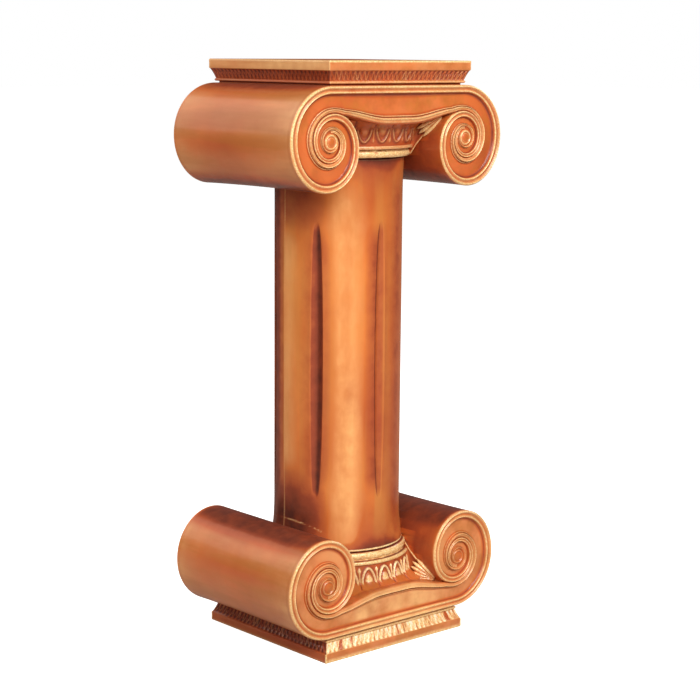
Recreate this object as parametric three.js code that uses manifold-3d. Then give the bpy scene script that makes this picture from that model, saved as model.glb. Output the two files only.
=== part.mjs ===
// Column pedestal with an Ionic capital at its head and the same capital turned over as its foot.
// Millimetres, +Z up. The origin is on the floor below the middle of the foot. X runs across the
// two volute faces, which look towards -Y (the front) and +Y.
import * as THREE from "three";
import { mergeVertices } from "three/addons/utils/BufferGeometryUtils.js";
import Module from "manifold-3d";

const wasm = await Module();
wasm.setup();

const HEIGHT = 800;

// The square plate that closes each capital: a plain fascia, a leaf band sloping in, a fillet.
// Every depth in a capital is measured from the plate's outer face.
const PLATE_HALF = 127;
const FASCIA = 13;
const LEAF_BAND_END = 26.5;
const LEAF_BAND_INSET = 6;
const PLATE_THICKNESS = 30;
const FILLET_INSET = 7;
const NECK_INSET = 10;

// The scroll: one outline carried straight through from the front face to the back face.
const FACE_HALF_DEPTH = 125.5;
const SCROLL_TOP = 32.5;
const EYE_X = 121;
const EYE_DEPTH = 104;

// Distance from the eye to each spiral line, a quarter turn apart: up, out, down, in, up ...
const RIM_RADII = [71.5, 68.5, 65.5, 47, 36.5, 30, 27, 19.5, 15, 12.5];
const CORD_RADII = [42, 39.3, 33.5, 23.5, 17.5, 14.4, 13, 10.5, 9, 8.5];
const RIM_WIDTH = 11.5;
const RIM_WIDTH_LOSS_PER_TURN = 2.6;
const CHANNEL_DEPTH = 4.5;
const CHANNEL_END_ANGLE = 640;

// The cord that bounds the channel from below sags between the two volutes. It reaches the rim
// again where the rim has turned through this angle.
const NOTCH_ANGLE = 332;
const CORD_SAG = 9.4;
const SAG_FLAT_UNTIL = 25;
const CORD_THICKNESS = 12;

// The round bell between the volutes: egg band, fillet and astragal.
const BELL_TOP = 70;
const BELL_RADIUS = 106;
const EGG_BAND_FOOT = 113.8;
const EGG_BAND_FOOT_RADIUS = 101;
const FILLET_RADIUS = 102.5;
const FILLET_END = 118;
const ASTRAGAL_DEPTH = 124;
const ASTRAGAL_RADIUS = 5.3;
const ASTRAGAL_RING = 93;
const EGG_DEPTH = 98;
const EGG_RING = 103;
const EGG_HALF_SIZE = [9, 5, 13];
const UPPER_EGG_ANGLES = [-23, -8, 7, 22];
const LOWER_EGG_ANGLES = [-30, -15, 0, 15, 30];

// Half-palmettes in the corners between bell and volutes, lying on a web with a curved lower edge.
const PALMETTE_ROOT = [90, 110.5, 74];
const PALMETTE_TIPS = [
  [71, 92.5, 103],
  [66.5, 88, 99],
  [64.5, 86.5, 92],
  [64, 86, 84],
  [66, 88, 76],
];
const PALMETTE_LOBE_HALF_WIDTH = 3.4;
const WEB_EDGE = [
  [60, 80, 127],
  [71, 91, 104],
  [87, 107, 83.5],
  [103, 121, 66],
];
const WEB_TOP = 62;

// The shaft: a round drum with six flutes, wider at its lower end.
const SHAFT_END = 130;
const SHAFT_RADIUS = 88.5;
const SHAFT_TOP_RADIUS = 90;
const SHAFT_FOOT_RADIUS = 93;
const SHAFT_FLARE_HEIGHT = 70;
const SHAFT_LIP = 2;
const FLUTES = 6;
const FLUTE_MIDDLE = 394;
const FLUTE_HALF_LENGTH = 191;
const FLUTE_DEPTH = 6.5;
const FLUTE_AXIS_OUTSIDE_SHAFT = 4;
const FLUTE_TAPER = 0.36;

const JOINT_GAP = 0.3;
const ROUND_STEPS = 32;

function solidOf(geometry) {
  const bare = geometry.index ? geometry.toNonIndexed() : geometry.clone();
  bare.deleteAttribute("normal");
  bare.deleteAttribute("uv");
  const merged = mergeVertices(bare, 1e-3);
  return new wasm.Manifold(
    new wasm.Mesh({
      numProp: 3,
      vertProperties: merged.attributes.position.array,
      triVerts: new Uint32Array(merged.index.array),
    }),
  );
}

function geometryOf(solid) {
  const mesh = solid.getMesh();
  const geometry = new THREE.BufferGeometry();
  geometry.setAttribute("position", new THREE.BufferAttribute(mesh.vertProperties, 3));
  geometry.setIndex(new THREE.BufferAttribute(mesh.triVerts, 1));
  geometry.computeVertexNormals();
  return geometry;
}

// A solid of revolution about Z from [radius, z] pairs that run upwards from axis to axis.
function turned(profile, steps, start = 0) {
  const points = profile.map(([radius, z]) => new THREE.Vector2(radius, z));
  return new THREE.LatheGeometry(points, steps, start).rotateX(Math.PI / 2);
}

// A solid with a constant section in X and Z, from one Y to another.
function throughDepth(outline, yFrom, yTo) {
  const shape = new THREE.Shape(outline.map(([x, z]) => new THREE.Vector2(x, z)));
  const options = { depth: yTo - yFrom, bevelEnabled: false, steps: 1 };
  return new THREE.ExtrudeGeometry(shape, options).rotateX(Math.PI / 2).translate(0, yTo, 0);
}

// Distance from the eye after a turn of so many degrees, smooth through the quarter-turn radii.
function spiral(radii) {
  const curve = new THREE.SplineCurve(radii.map((r, i) => new THREE.Vector2(i, Math.log(r))));
  const whole = (radii.length - 1) * 90;
  return (angle) => Math.exp(curve.getPoint(angle / whole).y);
}

const rim = spiral(RIM_RADII);
const cord = spiral(CORD_RADII);
const rimInside = (angle) => rim(angle) - RIM_WIDTH + (RIM_WIDTH_LOSS_PER_TURN * angle) / 360;

// The point at a distance from the right-hand eye; the angle starts at the top and turns outwards.
function fromEye(radius, angle) {
  const a = THREE.MathUtils.degToRad(angle);
  return [EYE_X + radius * Math.sin(a), -EYE_DEPTH + radius * Math.cos(a)];
}

function stepsBetween(from, to, count) {
  return Array.from({ length: count + 1 }, (_, i) => from + ((to - from) * i) / count);
}

// The whole outline from the right-hand half, which runs from the middle to the middle.
function bothHalves(half) {
  const left = half.map(([x, z]) => [-x, z]).reverse();
  return [...half.filter(([x]) => x > 0), ...left.filter(([x]) => x < 0)];
}

const [NOTCH_X, NOTCH_Z] = fromEye(rim(NOTCH_ANGLE), NOTCH_ANGLE);

// Height of the cord's upper edge at a distance from the middle.
function cordTop(x) {
  const highest = -EYE_DEPTH + cord(0);
  return highest - CORD_SAG * (1 - THREE.MathUtils.smoothstep(x, SAG_FLAT_UNTIL, NOTCH_X));
}

// Height of its lower edge, which thins towards the notch.
function cordFoot(x) {
  const thinning = (cordTop(NOTCH_X) - NOTCH_Z - CORD_THICKNESS) * (x / NOTCH_X) ** 2;
  return cordTop(x) - CORD_THICKNESS - thinning;
}

function scrollOutline() {
  const underCord = stepsBetween(2, NOTCH_X, 6).map((x) => [x, cordFoot(x)]);
  const aroundVolute = stepsBetween(NOTCH_ANGLE, 0, 18).slice(1);
  return bothHalves([...underCord, ...aroundVolute.map((a) => fromEye(rim(a), a))]);
}

function channelOutline() {
  const inwards = stepsBetween(0, CHANNEL_END_ANGLE, 28);
  const belowRim = inwards.map((a) => fromEye(rimInside(a), a));
  const aboveCord = [...inwards].reverse().map((a) => fromEye(cord(a), a));
  const alongSag = stepsBetween(NOTCH_X, 2, 6).map((x) => [x, cordTop(x)]);
  return bothHalves([...belowRim, ...aboveCord, ...alongSag]);
}

// Four steps of a lathe make the square plate.
function plate() {
  const corner = (inset, depth) => [(PLATE_HALF - inset) * Math.SQRT2, -depth];
  const profile = [
    [0, -SCROLL_TOP - 2],
    corner(NECK_INSET, SCROLL_TOP + 2),
    corner(NECK_INSET, PLATE_THICKNESS),
    corner(FILLET_INSET, PLATE_THICKNESS),
    corner(FILLET_INSET, LEAF_BAND_END),
    corner(LEAF_BAND_INSET, LEAF_BAND_END),
    corner(0, FASCIA),
    corner(0, 0),
    [0, 0],
  ];
  return turned(profile, 4, Math.PI / 4);
}

function bell() {
  const astragal = stepsBetween(-90, 60, 4).map((angle) => {
    const a = THREE.MathUtils.degToRad(angle);
    const radius = ASTRAGAL_RING + ASTRAGAL_RADIUS * Math.cos(a);
    return [radius, -ASTRAGAL_DEPTH + ASTRAGAL_RADIUS * Math.sin(a)];
  });
  return turned(
    [
      [0, -ASTRAGAL_DEPTH - ASTRAGAL_RADIUS],
      ...astragal,
      [FILLET_RADIUS, -FILLET_END],
      [FILLET_RADIUS, -EGG_BAND_FOOT - 1],
      [EGG_BAND_FOOT_RADIUS, -EGG_BAND_FOOT],
      [BELL_RADIUS, -(EGG_BAND_FOOT + BELL_TOP) / 2],
      [BELL_RADIUS, -BELL_TOP],
      [0, -BELL_TOP],
    ],
    ROUND_STEPS,
  );
}

function egg(angle) {
  return new THREE.OctahedronGeometry(1, 1)
    .rotateX(Math.PI / 2)
    .scale(...EGG_HALF_SIZE)
    .translate(0, -EGG_RING, -EGG_DEPTH)
    .rotateZ(THREE.MathUtils.degToRad(angle));
}

// The same eggs on the front and on the back.
function eggs(angles) {
  return [...angles, ...angles.map((angle) => angle + 180)].map(egg);
}

// One lobe: a long bead from the root of the palmette to its tip.
function lobe(root, tip) {
  const along = tip.clone().sub(root);
  const turn = new THREE.Quaternion().setFromUnitVectors(
    new THREE.Vector3(0, 0, 1),
    along.clone().normalize(),
  );
  return new THREE.OctahedronGeometry(1, 1)
    .scale(PALMETTE_LOBE_HALF_WIDTH, PALMETTE_LOBE_HALF_WIDTH, along.length() / 2)
    .applyQuaternion(turn)
    .translate(...root.clone().addScaledVector(along, 0.5));
}

function palmette(sideX, sideY) {
  const place = ([x, y, depth]) => new THREE.Vector3(sideX * x, sideY * y, -depth);
  return PALMETTE_TIPS.map((tip) => solidOf(lobe(place(PALMETTE_ROOT), place(tip))));
}

// The space between bell and volute on one side, filled above the curved lower edge of the webs.
function web(side) {
  const station = ([x, y, depth]) =>
    [-y, y].flatMap((along) => [
      [side * x, along, -depth],
      [side * x, along, -WEB_TOP],
    ]);
  const stations = WEB_EDGE.map(station);
  return stations.slice(1).map((next, i) => wasm.Manifold.hull([...stations[i], ...next]));
}

// A capital with its plate's outer face at Z = 0 and everything else below.
function capital(eggAngles) {
  const channelFloor = FACE_HALF_DEPTH - CHANNEL_DEPTH;
  const pastFace = FACE_HALF_DEPTH + 1;
  const outline = channelOutline();
  const scroll = solidOf(throughDepth(scrollOutline(), -FACE_HALF_DEPTH, FACE_HALF_DEPTH))
    .subtract(solidOf(throughDepth(outline, -pastFace, -channelFloor)))
    .subtract(solidOf(throughDepth(outline, channelFloor, pastFace)));
  const corners = [-1, 1].flatMap((x) => [...web(x), ...palmette(x, -1), ...palmette(x, 1)]);
  const carving = [plate(), bell(), ...eggs(eggAngles)].map(solidOf);
  return [...carving, ...corners].reduce((whole, piece) => whole.add(piece), scroll);
}

// The drum of the shaft, grown outwards by a clearance when it serves as a cutter.
function drum(clearance) {
  const low = SHAFT_END - clearance;
  const high = HEIGHT - SHAFT_END + clearance;
  const flare = (radius, way, z) =>
    stepsBetween(1, 0, 4).map((t) => [
      SHAFT_RADIUS + (radius - SHAFT_RADIUS) * t ** 3 + clearance,
      z + way * (SHAFT_LIP + (1 - t) * SHAFT_FLARE_HEIGHT),
    ]);
  return turned(
    [
      [0, low],
      [SHAFT_FOOT_RADIUS - SHAFT_LIP + clearance, low],
      ...flare(SHAFT_FOOT_RADIUS, 1, low),
      ...flare(SHAFT_TOP_RADIUS, -1, high).reverse(),
      [SHAFT_TOP_RADIUS - SHAFT_LIP + clearance, high],
      [0, high],
    ],
    ROUND_STEPS,
  );
}

// A long spindle whose axis lies outside the shaft; the flute tapers evenly to both its ends.
function fluteCutter(angle) {
  const profile = stepsBetween(-90, 90, 12).map((turn) => {
    const along = Math.sin(THREE.MathUtils.degToRad(turn));
    const shape = Math.max(0, 1 - along ** 2) ** FLUTE_TAPER;
    return [(FLUTE_AXIS_OUTSIDE_SHAFT + FLUTE_DEPTH) * shape, FLUTE_HALF_LENGTH * along];
  });
  return turned(profile, 10)
    .translate(0, -SHAFT_RADIUS - FLUTE_AXIS_OUTSIDE_SHAFT, FLUTE_MIDDLE)
    .rotateZ(THREE.MathUtils.degToRad(angle));
}

function shaft() {
  const cutters = Array.from({ length: FLUTES }, (_, i) => fluteCutter((360 / FLUTES) * i));
  return cutters.reduce(
    (whole, cutter) => whole.subtract(solidOf(cutter)),
    solidOf(drum(0)),
  );
}

function mesh(name, solid, colour) {
  const finish = new THREE.MeshStandardMaterial({ color: colour, roughness: 0.35, metalness: 0 });
  const part = new THREE.Mesh(geometryOf(solid), finish);
  part.name = name;
  return part;
}

const shaftSocket = solidOf(drum(JOINT_GAP));
const upright = capital(UPPER_EGG_ANGLES).translate([0, 0, HEIGHT]);
const turnedOver = capital(LOWER_EGG_ANGLES).rotate([180, 0, 0]);

const group = new THREE.Group();
group.add(mesh("upper_capital", upright.subtract(shaftSocket), 0xb8673a));
group.add(mesh("shaft", shaft(), 0xc26a3a));
group.add(mesh("lower_capital", turnedOver.subtract(shaftSocket), 0xb8673a));

export default group;
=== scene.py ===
"""Looks of the column pedestal: two carved Ionic capitals and a fluted shaft in stained, gilded lacquer.

Shapes are worked out in millimetres, in the same frame as the CAD, and scaled to metres at the end.
A capital is made with its plate's outer face at depth 0; depth runs towards the shaft.

Each point carries two values. Gilt is the gold on it: 0 is none, 1 is well covered, and more is
heavy, pale gold; on the shaft it also draws painted highlights: a pale line down each side and a
bright line round the lip at each end. Stain is 0 on plain lacquer: above 0 it reddens and then
turns dark brown, and below 0 the lacquer is rubbed thin. Above 0 it is partly real stain and
partly painted shade, in grooves, steps and creases, round the eggs, under the plate, on the
barrels and the web, in the flutes, down the sides of the shaft and near its ends.
"""
import math

import bmesh
import bpy
import numpy as np
from mathutils import Matrix, Vector

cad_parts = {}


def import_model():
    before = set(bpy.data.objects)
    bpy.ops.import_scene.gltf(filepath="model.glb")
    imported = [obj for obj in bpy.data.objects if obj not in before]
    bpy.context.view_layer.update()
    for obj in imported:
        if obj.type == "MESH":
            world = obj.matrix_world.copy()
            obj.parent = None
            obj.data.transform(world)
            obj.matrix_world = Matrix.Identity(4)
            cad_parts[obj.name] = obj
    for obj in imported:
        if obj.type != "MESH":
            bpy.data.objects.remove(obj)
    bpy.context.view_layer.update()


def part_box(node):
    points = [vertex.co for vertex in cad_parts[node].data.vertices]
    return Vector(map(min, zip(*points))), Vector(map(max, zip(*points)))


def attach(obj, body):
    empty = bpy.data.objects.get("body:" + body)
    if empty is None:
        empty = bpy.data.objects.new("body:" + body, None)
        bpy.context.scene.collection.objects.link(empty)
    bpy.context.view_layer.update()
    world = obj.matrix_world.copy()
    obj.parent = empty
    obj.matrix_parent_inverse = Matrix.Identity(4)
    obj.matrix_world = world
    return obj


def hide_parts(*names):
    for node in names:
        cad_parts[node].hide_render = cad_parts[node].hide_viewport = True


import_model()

MM = 0.001
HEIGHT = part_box("upper_capital")[1].z / MM

# Plate
PLATE_HALF = 127.0
FASCIA = 13.0
LEAF_BAND_END = 26.5
LEAF_BAND_INSET = 6.0
PLATE_THICKNESS = 30.0
FILLET_INSET = 7.0
NECK_INSET = 10.0
LEAVES_PER_SIDE = 31
COLUMNS_PER_LEAF = 8
LEAF_STEPS = 11
# Depth and inset of the lines round the fascia, from its outer edge to the leaf band.
FASCIA_LINES = [(0, 1.2), (0.5, 0.35), (1.4, 0), (3.4, 0), (7.5, 0.15), (11.8, 0), (12.7, 0.4)]

# Scroll
FACE_HALF_DEPTH = 125.5
SCROLL_TOP = 32.5
EYE_X = 121.0
EYE_DEPTH = 104.0
RIM_RADII = [71.5, 68.5, 65.5, 47, 36.5, 30, 27, 19.5, 15, 12.5, 10.8, 9.6, 8.8]
CORD_RADII = [42, 39.3, 33.5, 23.5, 17.5, 14.4, 13, 10.5, 9.6, 9.2, 9.0, 8.9, 8.8]
RIM_WIDTHS = [11.3, 13.6, 11.5, 11.2, 9.2, 7.2, 6.2, 4.6, 3.4, 2.8, 2.4, 2.2, 2]
NOTCH_ANGLE = 332.0
CORD_SAG = 9.4
SAG_FLAT_UNTIL = 25.0
CORD_THICKNESS = 12.0
SPIRAL_END = 720.0
BARREL_WAIST = 1.5
STRAIGHT_STEPS = 29
TURN_STEPS = 120
EYE_SIDES = 40
EYE_FOOT = 9.0
# From the outer edge of the button at the eye to its middle: radius, height over the face, gilding.
EYE_PROFILE = [
    (11.5, -EYE_FOOT, 0),
    (11.5, -3.4, 0.1),
    (10.6, -2.0, 0.25),
    (9.6, -0.6, 0.55),
    (8.6, 0.1, 0.75),
    (7.6, -0.6, 0.3),
    (6.8, -1.4, 0.05),
    (6.2, -1.2, 0.3),
    (5.0, -0.5, 0.15),
    (3.2, 0.0, 0.05),
    (1.4, 0.2, 0.02),
]

# Bell
BELL_TOP = 70.0
BELL_RADIUS = 106.0
EGG_BAND_FOOT = 113.8
EGG_BAND_FOOT_RADIUS = 101.0
FILLET_RADIUS = 102.5
FILLET_END = 118.0
ASTRAGAL_DEPTH = 124.0
ASTRAGAL_RADIUS = 5.3
ASTRAGAL_RING = 93.0
EGG_PITCH = 15.0
EGG_ARC_RADIUS = 103
EGG_TOP = 87
EGG_HALF_WIDTH = 6.6
EGG_LENGTH = 13.5
EGG_FRAME_TOP = 86
EGG_FRAME_HALF_WIDTH = 10.2
EGG_FRAME_LENGTH = 21.5
DART_ARC = 13.5
# Either side of the front and the back, the eggs fade out between these angles, by the volutes.
EGGS_FADE = (38, 43)
BELL_FLARE = 15.0
BELL_FLARE_START = 78.0
BELL_FLARE_END = 93.0

# Palmettes
PALMETTE_ROOT = np.array([90.0, 110.5, 74.0])
PALMETTE_OUT_X, PALMETTE_OUT_Y = -0.697, 0.717
PETAL_WIDTH = 5.0
PETAL_THICKNESS = 3.6
PALMETTE_TIPS = np.array(
    [[71, 92.5, 103], [66.5, 88, 99], [64.5, 86.5, 92], [64, 86, 84], [66, 88, 76]], float
)
# Lower edge of the web that joins the bell to the volute, under the palmette.
WEB_EDGE = np.array(
    [
        [60, 80, 127],
        [65, 85, 115],
        [71, 91, 104],
        [78.5, 98, 94],
        [87, 107, 83.5],
        [97, 116, 73],
        [103, 121, 66],
    ],
    float,
)
WEB_TOP = 62.0

# Shaft
SHAFT_END = 130.0
SHAFT_RADIUS = 88.5
SHAFT_TOP_RADIUS = 90.0
SHAFT_FOOT_RADIUS = 93.0
SHAFT_FLARE_HEIGHT = 70.0
SHAFT_LIP = 2.0
FLUTES = 6
FLUTE_MIDDLE = 394.0
FLUTE_HALF_LENGTH = 191.0
FLUTE_HALF_WIDTH = 9.0
FLUTE_DEPTH = 6.5
# Length at each end of a flute where the rows lie closer together.
FLUTE_TIP = 34.0
ACROSS_FLUTE = np.linspace(-1, 1, 23)
# Points between one flute and the next, with more of them at the pale highlight line painted down each
# side.
HIGHLIGHT_LINE_SHARES = (0.358, 0.374, 0.390, 0.610, 0.626, 0.642)
ACROSS_PANEL = np.sort([*np.linspace(0, 1, 26)[1:-1], *HIGHLIGHT_LINE_SHARES])
# Where the painted highlight line runs down each side of the shaft, in degrees from the front.
HIGHLIGHT_LINE_ANGLE = 96.1
DRUM_SIDES = 160
JOINT_GAP = 0.3
# Each panel between two flutes, round from the front towards +X: how far its middle is rubbed
# thin (below 0 it is stained instead), and how red it is beside the next flute.
PANEL_WEAR = [-0.45, 0.6, 0.8, 0.5, 0.75, 1.2]
PANEL_RED = [0.2, 0.25, 0.4, 0.3, 0.15, 0.5]


# --- small helpers ---
def smoothstep(x, low, high):
    t = np.clip((np.asarray(x, float) - low) / (high - low), 0, 1)
    return t * t * (3 - 2 * t)


def eased(x, keys):
    """Value of a table of (position, value) pairs, eased between the rows so that crests stay round."""
    at = np.array([k[0] for k in keys], float)
    value = np.array([k[1] for k in keys], float)
    x = np.clip(x, at[0], at[-1])
    i = np.clip(np.searchsorted(at, x, side="right") - 1, 0, len(at) - 2)
    t = (x - at[i]) / (at[i + 1] - at[i])
    return value[i] + (value[i + 1] - value[i]) * (0.5 - 0.5 * np.cos(math.pi * t))


def bump(x, centre, width):
    return np.exp(-(((x - centre) / width) ** 2))


class Solid:
    """A closed mesh under construction: points in mm, faces, and at each point the gilding, with any
    painted highlight, and the stain, with any painted shade.
    """

    def __init__(self):
        self.points = []
        self.faces = []
        self.gilt_and_highlight = []
        self.stain_and_shade = []
        self.count = 0

    def add(self, points, gilt_and_highlight, stain_and_shade):
        points = np.asarray(points, float).reshape(-1, 3)
        first = self.count
        self.points.append(points)
        self.gilt_and_highlight.append(np.broadcast_to(np.asarray(gilt_and_highlight, float).ravel(), (len(points),)))
        self.stain_and_shade.append(np.broadcast_to(np.asarray(stain_and_shade, float).ravel(), (len(points),)))
        self.count += len(points)
        return np.arange(first, self.count)

    def grid(self, index, flip=False, close=False):
        """Quads over a table of point numbers; close joins the last column to the first."""
        if close:
            index = np.concatenate([index, index[:, :1]], axis=1)
        a, b, c, d = index[:-1, :-1], index[:-1, 1:], index[1:, 1:], index[1:, :-1]
        quads = np.stack([a, b, c, d], axis=-1).reshape(-1, 4)
        if flip:
            quads = quads[:, ::-1]
        self.faces.extend(quads.tolist())

    def fan(self, ring, centre, flip=False):
        for i, a in enumerate(ring):
            b = ring[(i + 1) % len(ring)]
            self.faces.append([b, a, centre] if flip else [a, b, centre])

    def object(self, name, weld=0.004):
        points = np.concatenate(self.points) * MM
        mesh = bpy.data.meshes.new(name)
        mesh.from_pydata(points.tolist(), [], self.faces)
        for key, values in (("gilt_and_highlight", self.gilt_and_highlight), ("stain_and_shade", self.stain_and_shade)):
            layer = mesh.attributes.new(key, "FLOAT", "POINT")
            layer.data.foreach_set("value", np.concatenate(values).astype(np.float32))
        bm = bmesh.new()
        bm.from_mesh(mesh)
        bmesh.ops.remove_doubles(bm, verts=bm.verts, dist=weld * MM)
        bmesh.ops.dissolve_degenerate(bm, edges=bm.edges, dist=weld * MM * 0.5)
        bmesh.ops.recalc_face_normals(bm, faces=bm.faces)
        bm.to_mesh(mesh)
        bm.free()
        obj = bpy.data.objects.new(name, mesh)
        bpy.context.scene.collection.objects.link(obj)
        return obj


# --- the scroll ---
def spiral(radii):
    """Distance from the eye after a turn of so many degrees."""
    logs = np.log(np.array(radii, float))
    last = len(logs) - 1

    def at(angle):
        t = np.clip(np.asarray(angle, float) / 90, 0, last - 1e-9)
        i = np.floor(t).astype(int)
        w = t - i
        p0, p1, p2, p3 = (logs[np.clip(i + k, 0, last)] for k in (-1, 0, 1, 2))
        start, end = (p2 - p0) / 2, (p3 - p1) / 2
        cubic = (2 * p1 - 2 * p2 + start + end) * w**3
        square = (-3 * p1 + 3 * p2 - 2 * start - end) * w**2
        return np.exp(cubic + square + start * w + p1)

    return at


rim = spiral(RIM_RADII)
cord = spiral(CORD_RADII)
rim_width = spiral(RIM_WIDTHS)


def from_eye(radius, angle):
    """(x, depth) of a point at a distance from the right-hand eye; 0 degrees is up, 90 is outwards."""
    a = np.radians(angle)
    return EYE_X + radius * np.sin(a), EYE_DEPTH - radius * np.cos(a)


NOTCH_X, NOTCH_DEPTH = from_eye(rim(NOTCH_ANGLE), NOTCH_ANGLE)


def cord_top(x):
    return EYE_DEPTH - cord(0) + CORD_SAG * (1 - smoothstep(x, SAG_FLAT_UNTIL, NOTCH_X))


def cord_foot(x):
    thinning = (NOTCH_DEPTH - cord_top(NOTCH_X) - CORD_THICKNESS) * (x / NOTCH_X) ** 2
    return cord_top(x) + CORD_THICKNESS + thinning


# Relief across the rim, the channel and the cord: (share of the width, height over the face in mm).
RIM_RELIEF = [(0, -1.4), (0.18, 1.0), (0.48, -1.2), (0.78, 0.6), (1, -3.6)]
RIM_GILT = [(0, 0.3), (0.16, 0.95), (0.3, 0.35), (0.5, 0.2), (0.66, 0.35), (0.78, 1.0), (0.9, 0.1), (1, 0)]
# The stain tables darken the grooves and the step down into the channel: painted shade in these hollows.
RIM_STAIN_AND_SHADE = [(0, 0.0), (0.3, 0.0), (0.48, 0.4), (0.62, 0.0), (0.86, 0.0), (1, 1.0)]
CHANNEL_RELIEF = [(0, -3.6), (0.06, -5.0), (0.45, -4.6), (0.93, -3.9), (1, -4.4)]
CHANNEL_STAIN_AND_SHADE = [(0, 0.9), (0.12, 0.3), (0.25, 0.0), (0.9, 0.0), (1, 0.4)]
CORD_RELIEF = [(0, -4.4), (0.1, -2.0), (0.21, -3.6), (0.4, 0.9), (0.62, -0.9), (0.76, -0.7), (1, -2.8)]
CORD_GILT = [(0, 0), (0.1, 0.7), (0.2, 0), (0.3, 0.3), (0.4, 1), (0.55, 0.3), (0.76, 0.4), (1, 0.05)]
CORD_STAIN_AND_SHADE = [(0, 0.4), (0.1, 0), (0.21, 0.9), (0.34, 0), (0.76, 0), (0.9, 0.2), (1, 0.5)]
RIM_STEPS, CHANNEL_STEPS, CORD_STEPS = 17, 9, 15
EDGE_DROP_FROM, EDGE_DROP_TO = NOTCH_ANGLE - 14, NOTCH_ANGLE + 4
RELIEF_BASE = -2.2


def edge_height(angle):
    """Height of the line between one turn of the band and the next, where the outer edge lies at angle."""
    return -1.4 - 1.4 * float(smoothstep(angle, EDGE_DROP_FROM, EDGE_DROP_TO))


def across(angle, rim_share, cord_share):
    """Shares of the way across the band, with height, gilding and stain, at one station."""
    parts = (
        (0, rim_share, RIM_STEPS, RIM_RELIEF, RIM_GILT, RIM_STAIN_AND_SHADE),
        (rim_share, cord_share, CHANNEL_STEPS, CHANNEL_RELIEF, [(0, 0), (1, 0)], CHANNEL_STAIN_AND_SHADE),
        (cord_share, 1, CORD_STEPS + 1, CORD_RELIEF, CORD_GILT, CORD_STAIN_AND_SHADE),
    )
    share, height, gilt_and_highlight, stain_and_shade = [], [], [], []
    for low, high, steps, relief, gold, dark in parts:
        u = np.arange(steps) / (CORD_STEPS if high == 1 else steps)
        share.append(low + (high - low) * u)
        height.append(eased(u, relief))
        gilt_and_highlight.append(eased(u, gold))
        stain_and_shade.append(eased(u, dark))
    share, height, gilt_and_highlight, stain_and_shade = map(np.concatenate, (share, height, gilt_and_highlight, stain_and_shade))
    # Past the notch the band's edge, against the turn outside it, loses its gold and is painted dark:
    # painted shade in the crease between the turns.
    inside = smoothstep(angle, EDGE_DROP_FROM, EDGE_DROP_TO)
    edge = np.clip(1 - share / 0.06, 0, 1)
    gilt_and_highlight = gilt_and_highlight * (1 - 0.8 * edge * inside)
    stain_and_shade = np.maximum(stain_and_shade, edge * inside)
    calm = 1 - 0.3 * smoothstep(angle, 300, 620)
    fade = 1 - smoothstep(angle, SPIRAL_END - 90, SPIRAL_END)
    height = RELIEF_BASE + (height - RELIEF_BASE) * calm * fade
    height[0] = edge_height(angle)
    height[-1] = edge_height(angle + 360)
    return share, height, gilt_and_highlight, stain_and_shade


def stations():
    """Outer point, inner point, shares and relief of each line across the band, from the middle inwards."""
    rows = []
    tilt = NOTCH_ANGLE - 360
    last_x = EYE_X + (EYE_DEPTH - SCROLL_TOP) * math.tan(math.radians(tilt))
    for t in np.linspace(0, 1, STRAIGHT_STEPS + 1)[:-1]:
        x_in = t * NOTCH_X
        outer = np.array([t * last_x, SCROLL_TOP])
        inner = np.array([x_in, cord_foot(x_in)])
        run = inner[1] - outer[1]
        shares = (RIM_WIDTHS[0] / run, (cord_top(x_in) - SCROLL_TOP) / run)
        rows.append((outer, inner, *across(tilt, *shares)))
    for angle in np.arange(tilt, SPIRAL_END + 0.01, 360 / TURN_STEPS):
        r_out = rim(angle) if angle >= 0 else (EYE_DEPTH - SCROLL_TOP) / math.cos(math.radians(angle))
        r_in = rim(angle + 360)
        width = float(rim_width(max(angle, 0)))
        if angle < 0:
            width /= math.cos(math.radians(angle))
            x_in = from_eye(r_in, angle)[0]
            sag = (cord_top(min(x_in, NOTCH_X)) - (EYE_DEPTH - cord(0))) * smoothstep(angle, 0, tilt)
            r_cord = (cord(0) - sag) / math.cos(math.radians(angle))
            blend = smoothstep(angle, tilt, 0)
            r_cord = r_cord * (1 - blend) + cord(0) * blend
        else:
            r_cord = cord(angle)
        width = min(width, (r_out - r_in) * 0.55)
        r_cord = min(r_cord, r_out - width - 0.1 * (r_out - r_in))
        r_cord = max(r_cord, r_in + 0.22 * (r_out - r_in))
        shares = (width / (r_out - r_in), (r_out - r_cord) / (r_out - r_in))
        outer = np.array(from_eye(r_out, angle))
        inner = np.array(from_eye(r_in, angle))
        rows.append((outer, inner, *across(angle, *shares)))
    return rows


def barrel_painted_shade(depth, across_x):
    """Painted shade on the outside of the scroll, between its two faces: on the side towards the shaft, on
    the inner side by the bell, under the plate and along its edge, and a faint band a little nearer the
    shaft than the eye.
    """
    stain_and_shade = 1.5 * smoothstep(depth, 145, 172) * smoothstep(across_x, EYE_X - 70, EYE_X)
    stain_and_shade += 0.95 * smoothstep(EYE_X + 12 - across_x, 0, 40) * smoothstep(depth, 66, 84)
    stain_and_shade += 0.9 * (depth < SCROLL_TOP + 1) * (across_x < PLATE_HALF)
    stain_and_shade += 1.0 * bump(depth, SCROLL_TOP, 10) * (across_x > PLATE_HALF)
    stain_and_shade += 0.18 * bump(depth, 112, 13) * (across_x > EYE_X)
    return stain_and_shade


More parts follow.
